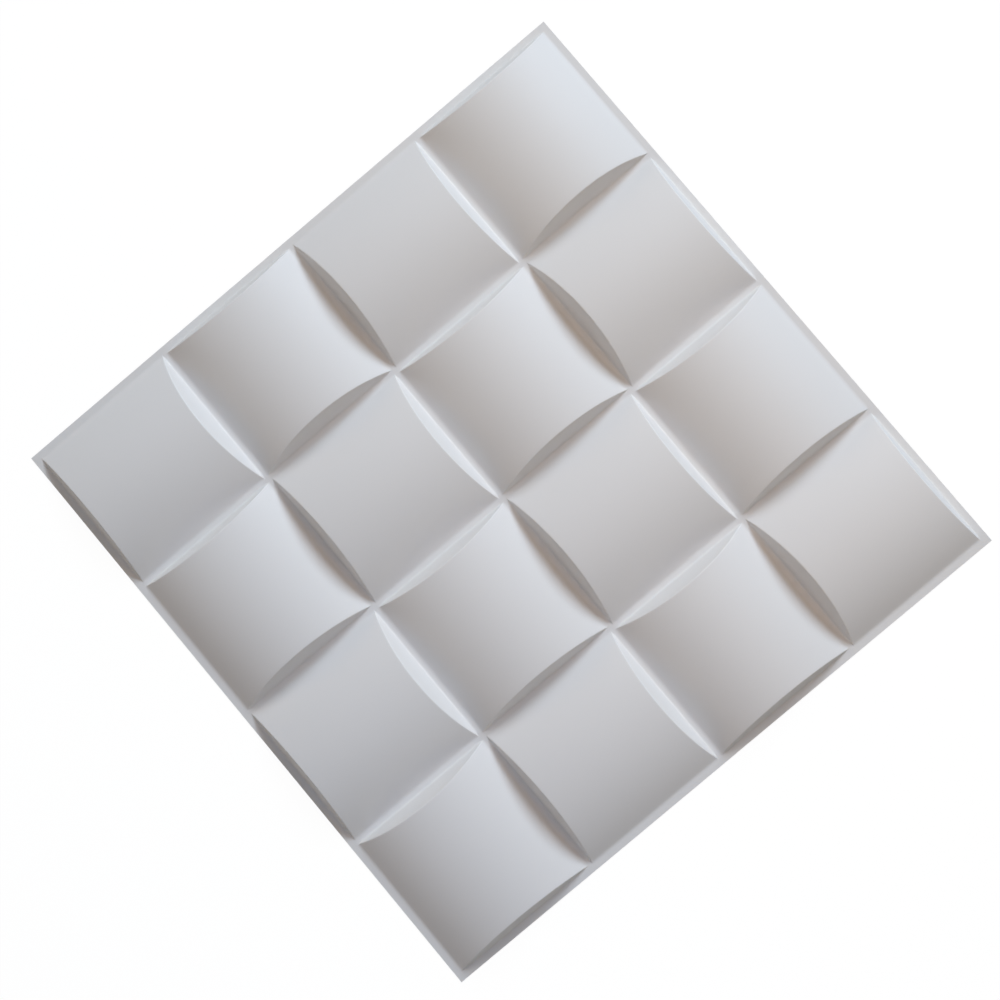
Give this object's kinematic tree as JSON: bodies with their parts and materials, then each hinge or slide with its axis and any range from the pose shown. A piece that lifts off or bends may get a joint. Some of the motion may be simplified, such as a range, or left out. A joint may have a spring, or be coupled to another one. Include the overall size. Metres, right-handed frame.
{
  "type": "3d wall panel tile",
  "caption": "Thin square wall panel sheet formed into a checkerboard weave of raised arches with leaning end walls, hollow behind, with flat strips between and a flat rim.",
  "frame": {"origin": "middle of the back plane, on the crossing of the two middle strips", "axes": "+Z out of the relief, X and Y along the sheet's sides; the arch in the -X +Y corner runs along X"},
  "size_m": [0.5, 0.5, 0.02],
  "materials": {
    "white_pvc": "matte white rigid PVC sheet with a faint fine grain"
  },
  "bodies": {
    "root": {"wall_panel": "white_pvc"}
  },
  "joints": []
}
